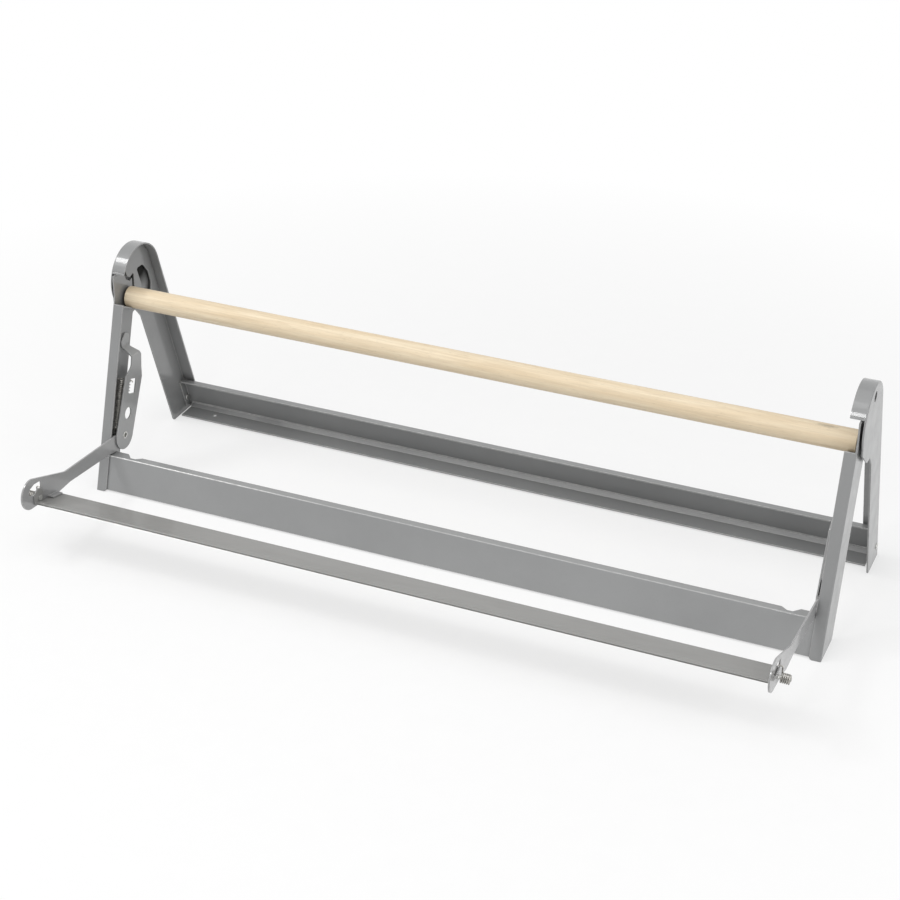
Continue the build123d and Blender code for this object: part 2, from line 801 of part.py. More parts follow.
save_pair("front_leg", make_front_leg())
save_pair("rear_leg", make_rear_leg())
save("front_rail", make_front_rail())
save("rear_rail", make_rear_rail())
rail_rivet = make_rail_rivet()
save("rail_rivets", rail_rivet, mirror(rail_rivet, about=Plane.YZ))
save("roll_bar", make_roll_bar())
save_pair("spring_plate", make_spring_plate())
save_pair("arm_pivot_pin", make_pivot_pin())
save_pair("arm_spacer", make_spacer())
save_pair("cutter_arm", make_arm())
save("blade_bar", make_blade_bar())
save("cutting_strip", make_cutting_strip())
save_pair("blade_pivot_pin", make_tilt_pin())
save_pair("tension_spring", make_tension_spring())
save_pair("blade_return_spring", make_return_spring())

print("swing axis", round(pivot_y + y_shift, 3), pivot_z)
print("tilt axis", round(tilt_y + y_shift, 3), tilt_z)
print("bar axis", round(bar_y + y_shift, 3), bar_z)
shelf_front_y = rear_y(bevel_z, sheet_t + joint_gap) - shelf_depth
print("bench holes", web_in - bench_hole_from_web, round(shelf_front_y + bench_hole_from_shelf + y_shift, 3))
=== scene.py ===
import math

import bpy
import numpy as np
from bpy.props import FloatProperty, FloatVectorProperty, PointerProperty
from mathutils import Matrix, Vector


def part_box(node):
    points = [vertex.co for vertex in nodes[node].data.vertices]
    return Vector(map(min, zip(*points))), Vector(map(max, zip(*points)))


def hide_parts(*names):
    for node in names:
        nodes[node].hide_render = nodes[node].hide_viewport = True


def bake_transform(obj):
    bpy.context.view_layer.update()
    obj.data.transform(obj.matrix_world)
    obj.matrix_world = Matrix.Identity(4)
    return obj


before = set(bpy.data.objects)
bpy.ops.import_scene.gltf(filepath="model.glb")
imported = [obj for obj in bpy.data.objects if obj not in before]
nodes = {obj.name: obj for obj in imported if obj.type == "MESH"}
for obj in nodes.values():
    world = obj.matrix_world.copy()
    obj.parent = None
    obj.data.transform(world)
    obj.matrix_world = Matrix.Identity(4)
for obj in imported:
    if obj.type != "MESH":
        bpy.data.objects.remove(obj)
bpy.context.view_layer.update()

bl_info = {
    "name": "Paper roll cutter",
    "version": (1, 0, 0),
    "blender": (4, 5, 0),
    "location": "3D View > Sidebar > Cutter",
    "description": "Finishes, springs and studio stage for a bench paper roll cutter",
    "category": "Object",
}

FRONT_LEGS = ("front_leg_left", "front_leg_right")
REAR_LEGS = ("rear_leg_left", "rear_leg_right")
PLATES = ("spring_plate_left", "spring_plate_right")
ARMS = ("cutter_arm_left", "cutter_arm_right")
FASTENERS = (
    "rail_rivets", "arm_pivot_pin_left", "arm_pivot_pin_right", "blade_pivot_pin_left",
    "blade_pivot_pin_right", "arm_spacer_left", "arm_spacer_right",
)

# Wires. Places are those of the right side, in metres.
WIRE_SIDES = 14               # faces around a wire
TURN_STEPS = 26               # rings of a wire in one turn of a coil
CAP_RINGS = 3                 # rings in a wire's round end
ARM_FACES = (0.4815, 0.4835)  # inner and outer face of the swing arm
PLATE_CLEAR = 0.0022          # from the spring plate's inner face to the bend of the wire
TAIL_CLEAR = 0.0014           # from the arm's outermost face back to the end of the wire
RETURN_BEND = 0.0018          # bend radius at both ends of the torsion spring
LEG_DEPTH = 0.0006            # from the arm's inner face out to the tip of the torsion spring
PIN_GRIP = 0.07               # share of a turn from the coil's end to the wire's way into the pin
PIN_STOP = 0.0004             # from the pin's axis to the end of the wire
GRIP_STEPS = 14               # rings over which the torsion spring's lean turns to that end

# Paint.
FLAT_TOP = 0.0002             # corners this close to the top of a rail lie on its top face
# Painted highlight along the front rail's top fold, fading to the right.
HIGHLIGHT_FADE = (-0.40, -0.16)   # X between which the bright fold fades
HIGHLIGHT_LEAST = 0.22            # what is left of it at the right
# Near-black painted shadow on the outer web behind the front leg's arch.
SHADOW_DARK = (0.006, 0.006, 0.005)
RUST = (0.20, 0.13, 0.08)

# Stage.
FLOOR_DROP = 0.0004           # the floor lies this far under the feet, clear of their faces
CAMERA_PLACE = (0.8964, -2.0369, 1.4177)
CAMERA_ANGLES = (23.64, 29.57)  # degrees to the right of the front, and up
CAMERA_LENS = 82.4            # millimetres, on a sensor as wide as a full frame
SENSOR_WIDTH = 36.0


class CutterColours(bpy.types.PropertyGroup):
    """Colours of the painted, plated and wooden pieces."""

    enamel: FloatVectorProperty(
        name="Stand enamel", description="Grey enamel of the legs, rails and spring plates",
        default=(0.235, 0.238, 0.239), subtype="COLOR", size=3, min=0, max=1)
    arm: FloatVectorProperty(
        name="Arm enamel", description="Grey enamel of the two swing arms",
        default=(0.300, 0.301, 0.303), subtype="COLOR", size=3, min=0, max=1)
    blade: FloatVectorProperty(
        name="Blade enamel", description="Warmer grey enamel of the blade bar",
        default=(0.250, 0.248, 0.240), subtype="COLOR", size=3, min=0, max=1)
    # Tone of rubbed wear on folds and cut edges, which also carries their painted highlight.
    wear_and_highlight: FloatVectorProperty(
        name="Worn edge", description="Tone of rubbed folds and cut edges",
        default=(0.62, 0.62, 0.61), subtype="COLOR", size=3, min=0, max=1)
    maple_pale: FloatVectorProperty(
        name="Maple pale", description="Pale early wood of the roll bar",
        default=(0.84, 0.73, 0.55), subtype="COLOR", size=3, min=0, max=1)
    maple_dark: FloatVectorProperty(
        name="Maple dark", description="Darker streaks of the roll bar",
        default=(0.66, 0.53, 0.36), subtype="COLOR", size=3, min=0, max=1)
    strip: FloatVectorProperty(
        name="Cutting strip", description="Bare steel of the cutting strip",
        default=(0.52, 0.52, 0.50), subtype="COLOR", size=3, min=0, max=1)
    zinc: FloatVectorProperty(
        name="Zinc plate", description="Bright zinc of rivets, pins and bushes",
        default=(0.60, 0.60, 0.58), subtype="COLOR", size=3, min=0, max=1)
    wire: FloatVectorProperty(
        name="Spring wire", description="Dark oiled wire of the four springs",
        default=(0.33, 0.32, 0.30), subtype="COLOR", size=3, min=0, max=1)


class CutterFinish(bpy.types.PropertyGroup):
    """Sizes of the marks in the finishes."""

    peel: FloatProperty(
        name="Orange peel", description="Width of the ripples in the sprayed enamel",
        default=0.0016, min=0.0002, max=0.02, unit="LENGTH")
    peel_height: FloatProperty(
        name="Peel height", description="Height of the ripples in the sprayed enamel",
        default=0.000012, min=0, max=0.001, precision=6, unit="LENGTH")
    # Width of the rubbed wear and painted highlight on folds and cut edges.
    fold: FloatProperty(
        name="Edge softening", description="Width over which folds and cut edges are rubbed",
        default=0.0011, min=0.0001, max=0.01, unit="LENGTH")
    # Reach of the painted shade that darkens the enamel where walls face each other closely.
    painted_shade_reach: FloatProperty(
        name="Recess reach", description="Distance to a facing wall within which grime gathers",
        default=0.014, min=0.001, max=0.1, unit="LENGTH")
    # Place and reach of the near-black painted shadow behind the front leg's arch.
    painted_shadow: FloatVectorProperty(
        name="Bare patch", description="Middle of the unpainted patch behind the front leg's arch",
        default=(0.5, 0.1145, 0.264), subtype="TRANSLATION", size=3, unit="LENGTH")
    painted_shadow_reach: FloatProperty(
        name="Bare reach", description="Distance at which the unpainted patch has faded out",
        default=0.034, min=0.001, max=0.2, unit="LENGTH")
    knot: FloatVectorProperty(
        name="Knot", description="Place of the small knot in the roll bar",
        default=(0.455, 0.0708, 0.2545), subtype="TRANSLATION", size=3, unit="LENGTH")


class TensionSpring(bpy.types.PropertyGroup):
    """Sizes of the extension springs on the tails of the arms."""

    wire: FloatProperty(
        name="Wire", description="Radius of the wire",
        default=0.0009, min=0.0003, max=0.003, precision=5, unit="LENGTH")
    coil: FloatProperty(
        name="Coil", description="Radius of the coil at the middle of the wire",
        default=0.0054, min=0.002, max=0.02, unit="LENGTH")
    turns: FloatProperty(name="Turns", description="Number of turns", default=27.5, min=1, max=60)
    bend: FloatProperty(
        name="Hook bend", description="Radius of the bend at the upper end",
        default=0.0018, min=0.001, max=0.01, precision=5, unit="LENGTH")
    upper: FloatVectorProperty(
        name="Upper hook", description="Wire in the top tooth of the spring plate, right side",
        default=(0.49025, 0.03714, 0.13421), subtype="TRANSLATION", size=3, unit="LENGTH")
    lower: FloatVectorProperty(
        name="Lower hook", description="Wire at the hole in the arm's tail, right side",
        default=(0.49025, 0.00355, 0.0739), subtype="TRANSLATION", size=3, unit="LENGTH")


class ReturnSpring(bpy.types.PropertyGroup):
    """Sizes of the torsion springs that turn the blade back to its place."""

    wire: FloatProperty(
        name="Wire", description="Radius of the wire",
        default=0.0008, min=0.0003, max=0.003, precision=5, unit="LENGTH")
    coil: FloatProperty(
        name="Coil", description="Radius of the coil at the middle of the wire",
        default=0.0054, min=0.002, max=0.02, unit="LENGTH")
    pitch: FloatProperty(
        name="Pitch", description="Advance of one turn",
        default=0.0023, min=0.001, max=0.01, precision=5, unit="LENGTH")
    turns: FloatProperty(name="Turns", description="Number of turns", default=4.75, min=1, max=20)
    leg: FloatProperty(
        name="Leg height", description="Height at which the leg goes through the arm's window",
        default=0.0875, min=0.05, max=0.15, unit="LENGTH")


class StageSettings(bpy.types.PropertyGroup):
    """Light and floor of the studio."""

    floor: FloatProperty(
        name="Floor", description="Width of the floor",
        default=14.0, min=2, max=60, unit="LENGTH")
    top_light: FloatProperty(
        name="Top light", description="Power of the wide lamp overhead at the left",
        default=20.0, min=0, max=2000, unit="POWER")
    key_light: FloatProperty(
        name="Key light",
        description="Power of the small lamp at the left that draws crisp highlights",
        default=9.0, min=0, max=2000, unit="POWER")
    over_light: FloatProperty(
        name="Overhead light", description="Power of the lamp straight above",
        default=5.0, min=0, max=2000, unit="POWER")
    side_light: FloatProperty(
        name="Side light", description="Power of the lamp at the right",
        default=6.0, min=0, max=2000, unit="POWER")
    front_light: FloatProperty(
        name="Front light", description="Power of the small lamp in front",
        default=6.0, min=0, max=2000, unit="POWER")
    ambient: FloatProperty(
        name="Ambient", description="Strength of the even light all round",
        default=0.49, min=0, max=2)


def add(tree, kind, inputs=None, **settings):
    """Add a shader node, set its options, and set or link its inputs by name or number."""
    node = tree.nodes.new("ShaderNode" + kind)
    for key, value in settings.items():
        setattr(node, key, value)
    for key, value in (inputs or {}).items():
        if isinstance(value, bpy.types.NodeSocket):
            tree.links.new(value, node.inputs[key])
        else:
            node.inputs[key].default_value = value
    return node


def start_material(name):
    """New material: returns it, its tree, its principled shader and the object coordinates."""
    material = bpy.data.materials.new(name)
    material.use_nodes = True
    tree = material.node_tree
    tree.nodes.clear()
    shader = add(tree, "BsdfPrincipled")
    add(tree, "OutputMaterial", {"Surface": shader.outputs["BSDF"]})
    coords = add(tree, "TexCoord").outputs["Object"]
    return material, tree, shader, coords


def stretched(tree, coords, scale, place=(0, 0, 0)):
    """Object coordinates measured from a place and scaled on each axis."""
    centred = add(tree, "VectorMath", {0: coords, 1: place}, operation="SUBTRACT")
    scaled = add(tree, "VectorMath", {0: centred.outputs[0], 1: scale}, operation="MULTIPLY")
    return scaled.outputs[0]


def noise(tree, coords, scale, detail=3.0, roughness=0.5, distortion=0.0):
    """Fractal noise from 0 to 1."""
    found = add(tree, "TexNoise", {
        "Vector": coords, "Scale": scale, "Detail": detail, "Roughness": roughness,
        "Distortion": distortion})
    return found.outputs["Fac"]


def spread(tree, value, low, high, out_low=0.0, out_high=1.0):
    """Map a band of values to another band, clamped."""
    found = add(tree, "MapRange", {
        "Value": value, "From Min": low, "From Max": high, "To Min": out_low, "To Max": out_high})
    return found.outputs["Result"]


def sums(tree, operation, *values):
    """One arithmetic step."""
    return add(tree, "Math", dict(enumerate(values)), operation=operation).outputs[0]


def tint(tree, factor, first, second):
    """Mix two colours."""
    mix = add(tree, "Mix", data_type="RGBA")
    for socket, value in ((mix.inputs[0], factor), (mix.inputs[6], first), (mix.inputs[7], second)):
        if isinstance(value, bpy.types.NodeSocket):
            tree.links.new(value, socket)
        elif isinstance(value, float):
            socket.default_value = value
        else:
            socket.default_value = (*value, 1.0)
    return mix.outputs[2]


def measure(tree, vector):
    """Length of a vector."""
    return add(tree, "VectorMath", {0: vector}, operation="LENGTH").outputs["Value"]


def part_x(tree, vector):
    """First component of a vector."""
    return add(tree, "SeparateXYZ", {0: vector}).outputs[0]


def true_normal(tree):
    """Direction in which the face itself looks."""
    return add(tree, "NewGeometry").outputs["True Normal"]


def relief(tree, height, distance, strength, under=None):
    """Normal of a surface with fine relief, over another relief where one is given."""
    inputs = {"Height": height, "Distance": distance, "Strength": strength}
    if under is not None:
        inputs["Normal"] = under
    return add(tree, "Bump", inputs).outputs[0]


def connect(tree, shader, tone, roughness, normal):
    """Lead colour, roughness and relief to the shader."""
    for name, socket in (("Base Color", tone), ("Roughness", roughness), ("Normal", normal)):
        tree.links.new(socket, shader.inputs[name])


def edge_mask(tree, width):
    """High on folds and cut edges: how far the softened normal leans from the true one."""
    soft = add(tree, "Bevel", {"Radius": width}, samples=4).outputs[0]
    dot = add(tree, "VectorMath", {0: soft, 1: true_normal(tree)}, operation="DOT_PRODUCT")
    return spread(tree, dot.outputs["Value"], 0.995, 0.86), soft


def painted_shade_mask(tree, reach):
    """One in the open, falling to zero on walls that face another wall close by; it marks where
    painted shade darkens the enamel.
    """
    open_sky = add(tree, "AmbientOcclusion", {"Distance": reach}, samples=8).outputs["AO"]
    return spread(tree, open_sky, 0.25, 0.80)


def shade(colour, factor):
    """Colour made lighter or darker."""
    return tuple(min(1.0, channel * factor) for channel in colour)


def painted_shadow_mask(tree, coords, finish):
    """Zero on the inner face of the outer web behind the arch, where a near-black painted shadow
    lies.
    """
    away = measure(tree, stretched(tree, coords, (0, 1, 1), (0, finish.painted_shadow[1], finish.painted_shadow[2])))
    lean = part_x(tree, true_normal(tree))
    side = sums(tree, "SIGN", part_x(tree, coords))
    outer = spread(tree, sums(tree, "MULTIPLY", side, lean), -0.9, -0.5)
    faded = spread(tree, away, 0.35 * finish.painted_shadow_reach, finish.painted_shadow_reach)
    return sums(tree, "MAXIMUM", outer, faded)


def painted_highlight_mask(tree, coords, name, width):
    """One along the front fold of a rail's top flange, near a line along X, fading to the right: a
    painted highlight.
    """
    corners = [vertex.co for vertex in nodes[name].data.vertices]
    top = max(corner.z for corner in corners)
    front = min(corner.y for corner in corners if corner.z > top - FLAT_TOP)
    highlight_crest = (0, front - 0.5 * width, top - 0.3 * width)
    away = measure(tree, stretched(tree, coords, (0, 1, 1), highlight_crest))
    fade = spread(tree, part_x(tree, coords), *HIGHLIGHT_FADE, 1.0, HIGHLIGHT_LEAST)
    return sums(tree, "MULTIPLY", fade, spread(tree, away, width, 0.6 * width))


def enamel(name, colour, wear_and_highlight, finish, roughness=0.34, coat=0.6, painted_shadow=False, highlight_crest=None):
    """Sprayed enamel: cloudy tone, specks, painted shade in corners, rubbed folds with a painted
    highlight, and orange peel.

    One flag lays a near-black painted shadow on the outer web behind the arch, and the last
    argument names the rail whose top fold gets a painted highlight."""
    material, tree, shader, coords = start_material(name)
    cloud = spread(tree, noise(tree, coords, 7.0, 4.0, 0.6), 0.35, 0.65)
    tone = tint(tree, cloud, shade(colour, 0.955), shade(colour, 1.04))
    speck = spread(tree, noise(tree, coords, 420.0, 2.0, 0.6), 0.62, 0.74, 0.0, 0.16)
    tone = tint(tree, speck, tone, shade(colour, 0.72))
    # Painted shade: darker enamel on walls that face another wall close by.
    tone = tint(tree, painted_shade_mask(tree, finish.painted_shade_reach), shade(colour, 0.60), tone)
    streaks = noise(tree, stretched(tree, coords, (6, 22, 22)), 1.6, 5.0, 0.65, 0.4)
    smear = spread(tree, streaks, 0.35, 0.7, roughness - 0.05, roughness + 0.10)
    shader.inputs["Coat Weight"].default_value = coat
    # Near-black painted shadow behind the arch, duller and with no coat there.
    if painted_shadow:
        painted = painted_shadow_mask(tree, coords, finish)
        tone = tint(tree, painted, SHADOW_DARK, tone)
        smear = sums(tree, "MAXIMUM", smear, sums(tree, "SUBTRACT", 1.0, painted))
        tree.links.new(sums(tree, "MULTIPLY", painted, coat), shader.inputs["Coat Weight"])
    edge, soft = edge_mask(tree, finish.fold)
    # Painted highlight along the top fold of the named rail.
    if highlight_crest:
        edge = sums(tree, "MAXIMUM", edge, painted_highlight_mask(tree, coords, highlight_crest, 0.8 * finish.fold))
    # Folds and cut edges take the lighter tone: rubbed wear and a painted highlight.
    broken = spread(tree, noise(tree, coords, 130.0, 5.0, 0.7), 0.38, 0.62, 0.50, 1.00)
    tone = tint(tree, sums(tree, "MULTIPLY", edge, broken), tone, wear_and_highlight)
    shader.inputs["Coat Roughness"].default_value = 0.08
    shader.inputs["Specular IOR Level"].default_value = 0.5
    dings = noise(tree, coords, 38.0, 2.0, 0.5)
    wave = relief(tree, dings, 0.00022, 0.35, soft)
    peel = noise(tree, coords, 1.0 / finish.peel, 2.0, 0.45)
    connect(tree, shader, tone, smear, relief(tree, peel, finish.peel_height, 1.0, wave))
    return material


def maple(name, pale, dark, finish):
    """Turned maple: long streaks, fine fibres, short flecks, a small knot and ringed end grain."""
    material, tree, shader, coords = start_material(name)
    low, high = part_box("roll_bar")
    middle = (low + high) / 2
    streak = noise(tree, stretched(tree, coords, (1.6, 34, 34), middle), 3.0, 5.0, 0.6, 0.5)
    band = noise(tree, stretched(tree, coords, (0.8, 9, 9), middle), 3.0, 2.0, 0.5, 0.2)
    fibre = noise(tree, stretched(tree, coords, (22, 900, 900), middle), 1.0, 3.0, 0.65)
    fleck = noise(tree, stretched(tree, coords, (110, 1300, 1300), middle), 1.0, 1.0, 0.5)
    grain = noise(tree, stretched(tree, coords, (14, 320, 320), middle), 1.0, 3.0, 0.6, 0.3)
    tone = tint(tree, spread(tree, streak, 0.36, 0.68), pale, shade(dark, 1.12))
    tone = tint(tree, spread(tree, grain, 0.46, 0.64, 0.0, 0.55), tone, shade(dark, 0.95))
    tone = tint(tree, spread(tree, band, 0.35, 0.65, 0.0, 0.35), tone, shade(dark, 1.05))
    tone = tint(tree, spread(tree, fibre, 0.40, 0.66, 0.0, 0.30), tone, shade(dark, 0.85))
    tone = tint(tree, spread(tree, fleck, 0.66, 0.74, 0.0, 0.35), tone, shade(dark, 0.60))
    from_knot = measure(tree, stretched(tree, coords, (0.22, 1, 1), tuple(finish.knot)))
    uneven = sums(tree, "MULTIPLY", noise(tree, coords, 260.0, 3.0, 0.6), 0.003)
    knot = spread(tree, sums(tree, "ADD", from_knot, uneven), 0.0052, 0.0024, 0.0, 0.55)
    tone = tint(tree, knot, tone, shade(dark, 0.42))
    pith = (0, middle.y + 0.021, middle.z - 0.013)
    from_pith = measure(tree, stretched(tree, coords, (0, 1, 1), pith))
    wobble = sums(tree, "MULTIPLY", noise(tree, coords, 120.0, 2.0, 0.5), 0.0011)
    ring = sums(tree, "SINE", sums(tree, "MULTIPLY", sums(tree, "ADD", from_pith, wobble), 3700.0))
    ringed = tint(tree, spread(tree, ring, -1.0, 1.0), shade(pale, 0.80), shade(dark, 0.80))
    facing = sums(tree, "ABSOLUTE", part_x(tree, true_normal(tree)))
    tone = tint(tree, spread(tree, facing, 0.75, 0.95), tone, ringed)
    shader.inputs["Specular IOR Level"].default_value = 0.38
    dull = spread(tree, fibre, 0.3, 0.7, 0.46, 0.62)
    connect(tree, shader, tone, dull, relief(tree, fibre, 0.00006, 0.55))
    return material


def ground_steel(name, colour):
    """Bare strip steel, ground along its length, with faint rust freckles."""
    material, tree, shader, coords = start_material(name)
    lines = noise(tree, stretched(tree, coords, (9, 2600, 2600)), 1.0, 3.0, 0.6)
    tone = tint(tree, spread(tree, lines, 0.35, 0.65), shade(colour, 0.86), shade(colour, 1.12))
    freckle = spread(tree, noise(tree, coords, 300.0, 4.0, 0.7), 0.66, 0.76, 0.0, 0.30)
    tone = tint(tree, freckle, tone, RUST)
    shader.inputs["Metallic"].default_value = 1.0
    dull = spread(tree, lines, 0.3, 0.7, 0.24, 0.42)
    connect(tree, shader, tone, dull, relief(tree, lines, 0.00003, 0.5))
    return material


def zinc_plate(name, colour):
    """Zinc-plated turned steel: soft crystals, stains, painted highlights on the edges and turning
    lines.
    """
    material, tree, shader, coords = start_material(name)
    crystal = add(tree, "TexVoronoi", {"Vector": coords, "Scale": 900.0}).outputs["Distance"]
    stain = noise(tree, coords, 90.0, 4.0, 0.6)
    tone = tint(tree, spread(tree, crystal, 0.1, 0.7), shade(colour, 0.92), shade(colour, 1.08))
    tone = tint(tree, spread(tree, stain, 0.55, 0.75, 0.0, 0.4), tone, shade(colour, 0.62))
    edge, soft = edge_mask(tree, 0.0004)
    # Painted highlight on the edges.
    tone = tint(tree, sums(tree, "MULTIPLY", edge, 0.5), tone, shade(colour, 1.35))
    shader.inputs["Metallic"].default_value = 1.0
    dull = spread(tree, stain, 0.3, 0.7, 0.28, 0.46)
    lines = noise(tree, stretched(tree, coords, (3200, 120, 120)), 1.0, 2.0, 0.5)
    connect(tree, shader, tone, dull, relief(tree, lines, 0.00002, 0.4, soft))
    return material


def oiled_wire(name, colour):
    """Dark oil-tempered spring wire with a dull, uneven film."""
    material, tree, shader, coords = start_material(name)
    film = noise(tree, coords, 340.0, 4.0, 0.6)
    tone = tint(tree, spread(tree, film, 0.35, 0.65), shade(colour, 0.7), shade(colour, 1.7))
    shader.inputs["Metallic"].default_value = 0.85
    dull = spread(tree, film, 0.3, 0.7, 0.30, 0.52)
    connect(tree, shader, tone, dull, relief(tree, film, 0.00003, 0.5))
    return material


def paint(names, material):
    """Give CAD nodes a finish in their own material slots."""
    for name in names:
        slots = nodes[name].material_slots
        if not slots:
            nodes[name].data.materials.append(material)
        for slot in slots:
            slot.material = material


def held(first, line, last):
    """Rows of a line with its first row repeated before it and its last row after it."""
    return np.vstack([np.repeat(line[:1], first, 0), line, np.repeat(line[-1:], last, 0)])


def tube(path, lean, radius, sides=WIRE_SIDES):
    """Round wire: each ring is centre + radius * (cos a * lean + sin a * (heading x lean)).

    Heading is the path's unit difference, lean a direction across it, and the rings of the two
    end caps shrink as the cosine of an angle while they step out by its sine."""
    heading = np.gradient(path, axis=0)
    heading /= np.linalg.norm(heading, axis=1, keepdims=True)
    lean = lean - (lean * heading).sum(1, keepdims=True) * heading
    lean /= np.linalg.norm(lean, axis=1, keepdims=True)
    cap = np.linspace(0, math.pi / 2, CAP_RINGS + 2)[1:-1]
    first = path[:1] - heading[:1] * np.sin(cap[::-1])[:, None] * radius
    last = path[-1:] + heading[-1:] * np.sin(cap)[:, None] * radius
    centres = np.vstack([first, path, last])
    reach = np.concatenate([np.cos(cap[::-1]), np.ones(len(path)), np.cos(cap)]) * radius
    tips = np.vstack([path[:1] - heading[:1] * radius, path[-1:] + heading[-1:] * radius])
    lean = held(CAP_RINGS, lean, CAP_RINGS)
    heading = held(CAP_RINGS, heading, CAP_RINGS)
    side = np.cross(heading, lean)
    angle = np.linspace(0, 2 * math.pi, sides, endpoint=False)
    ring = np.cos(angle)[:, None] * lean[:, None] + np.sin(angle)[:, None] * side[:, None]
    points = (centres[:, None] + ring * reach[:, None, None]).reshape(-1, 3)
    rows, across = np.meshgrid(np.arange(len(centres) - 1), np.arange(sides), indexing="ij")
    after = (across + 1) % sides
    quads = np.stack([rows * sides + across, rows * sides + after,
                      (rows + 1) * sides + after, (rows + 1) * sides + across], -1).reshape(-1, 4)
    around = np.arange(sides)
    start_tip, end_tip = len(points), len(points) + 1
    base = (len(centres) - 1) * sides
    closing = [np.stack([np.full(sides, start_tip), (around + 1) % sides, around], -1),
               np.stack([np.full(sides, end_tip), base + around, base + (around + 1) % sides], -1)]
    return np.vstack([points, tips]), quads, np.vstack(closing)


def make_piece(name, points, quads, triangles, material):
    """Put arrays of points and faces into a smooth mesh object at the origin."""
    mesh = bpy.data.meshes.new(name)
    mesh.from_pydata(points.tolist(), [], quads.tolist() + triangles.tolist())
    mesh.shade_smooth()
    mesh.materials.append(material)
    piece = bpy.data.objects.new(name, mesh)
    bpy.context.scene.collection.objects.link(piece)
    return piece


def run(start, start_way, end, end_way, count):
    """Cubic run between two points: position from the four Hermite weights, end excluded."""
    t = np.linspace(0, 1, count, endpoint=False)[:, None]
    reach = np.linalg.norm(end - start)
    return ((2 * t**3 - 3 * t**2 + 1) * start + (t**3 - 2 * t**2 + t) * reach * start_way
            + (3 * t**2 - 2 * t**3) * end + (t**3 - t**2) * reach * end_way)


def helix(centre, first, second, axis, radius, pitch, turns):
    """Coil: centre + radius * (cos a * first + sin a * second) + axis * pitch * a / turn."""
    angle = np.linspace(0, 2 * math.pi * turns, int(TURN_STEPS * turns) + 1)
    radial = np.cos(angle)[:, None] * first + np.sin(angle)[:, None] * second
    return centre + radial * radius + axis * (pitch * angle / (2 * math.pi))[:, None], radial


def tension_line(size):
    """Wire of the extension spring, with its lean: bend, straight end, coil, straight end.

    Both ends leave the coil along X, on opposite sides of it, so the coil's length L and the
    distance D between its ends satisfy D^2 = L^2 + (2 * coil)^2."""
    top, low = np.array(size.upper), np.array(size.lower)
    out, up = np.array((1.0, 0, 0)), np.array((0, 0, 1.0))
    chord = low - top
    length = math.sqrt(chord @ chord - 4 * size.coil**2)
    turn = math.atan2(chord[2], chord[1]) + math.atan2(2 * size.coil, length)
    along = np.array((0, math.cos(turn), math.sin(turn)))
    across = np.cross(out, along)
    middle = top - across * size.coil
    coil, radial = helix(middle, across, out, along, size.coil, length / size.turns, size.turns)
    plate_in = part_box("spring_plate_right")[0].x
    corner = np.array((plate_in - PLATE_CLEAR, top[1], top[2]))
    bend_low, bend_out = corner - up * size.bend, corner + out * size.bend
    upper = np.vstack([
        run(bend_low, up, bend_out, out, 10),
        run(bend_out, out, top, out, 10)])
    tail_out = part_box("cutter_arm_right")[1].x
    tip = np.array((tail_out - TAIL_CLEAR, low[1], low[2]))
    lower = np.vstack([run(low, -out, tip, -out, 8)[1:], tip[None]])
    return np.vstack([upper, coil, lower]), held(len(upper), radial, len(lower))


def return_line(size):
    """Wire of the torsion spring, with its lean: leg through the arm's window, bend, coil, pin.

    Over the coil's last rings the lean turns from its radius to X by a growing angle s, as
    cos s * radius + sin s * X."""
    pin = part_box("blade_pivot_pin_right")
    centre_y, centre_z = (pin[0].y + pin[1].y) / 2, (pin[0].z + pin[1].z) / 2
    arm_in, arm_out = ARM_FACES
    out, rear, down = np.array((1.0, 0, 0)), np.array((0, 1.0, 0)), np.array((0, 0, -1.0))
    start_x = arm_out + 2 * RETURN_BEND
    coil_at = np.array((start_x, centre_y, centre_z))
    coil, radial = helix(coil_at, rear, down, out, size.coil, size.pitch, size.turns)
    leg_top = np.array((arm_in + LEG_DEPTH, centre_y + size.coil, size.leg))
    bend_in = np.array((start_x - RETURN_BEND, leg_top[1], leg_top[2]))
    down_from = bend_in + (out + down) * RETURN_BEND
    upper = np.vstack([
        run(leg_top, out, bend_in, out, 6),
        run(bend_in, out, down_from, down, 8),
        run(down_from, down, coil[0], down, 8)])
    turn = -2 * math.pi * ((size.turns + PIN_GRIP) % 1)
    inward = -np.array((0, math.cos(turn), math.sin(turn)))
    middle = np.array((coil[-1][0], centre_y, centre_z))
    corner = middle - inward * (size.coil - RETURN_BEND)
    last_way = coil[-1] - coil[-2]
    lower = np.vstack([
        run(coil[-1], last_way / np.linalg.norm(last_way), corner, inward, 12)[1:],
        run(corner, inward, middle - inward * PIN_STOP, inward, 8)])
    ending = (np.arange(len(coil)) - len(coil) + GRIP_STEPS) / (GRIP_STEPS - 1)
    swing = np.clip(ending, 0, 1)[:, None] * math.pi / 2
    tilted = np.cos(swing) * radial + np.sin(swing) * out
    lean = np.vstack([held(len(upper), tilted, 0), np.repeat(out[None], len(lower), 0)])
    return np.vstack([upper, coil, lower]), lean


def both_sides(name, wire, points, quads, caps):
    """The wire on each side of the machine: its side, its sign along X and its piece.

    The left one is the right one mirrored, with its faces turned back outwards."""
    flipped = points * np.array((-1.0, 1.0, 1.0))
    yield "right", 1, make_piece(name + "right", points, quads, caps, wire)
    yield "left", -1, make_piece(name + "left", flipped, quads[:, ::-1], caps[:, ::-1], wire)


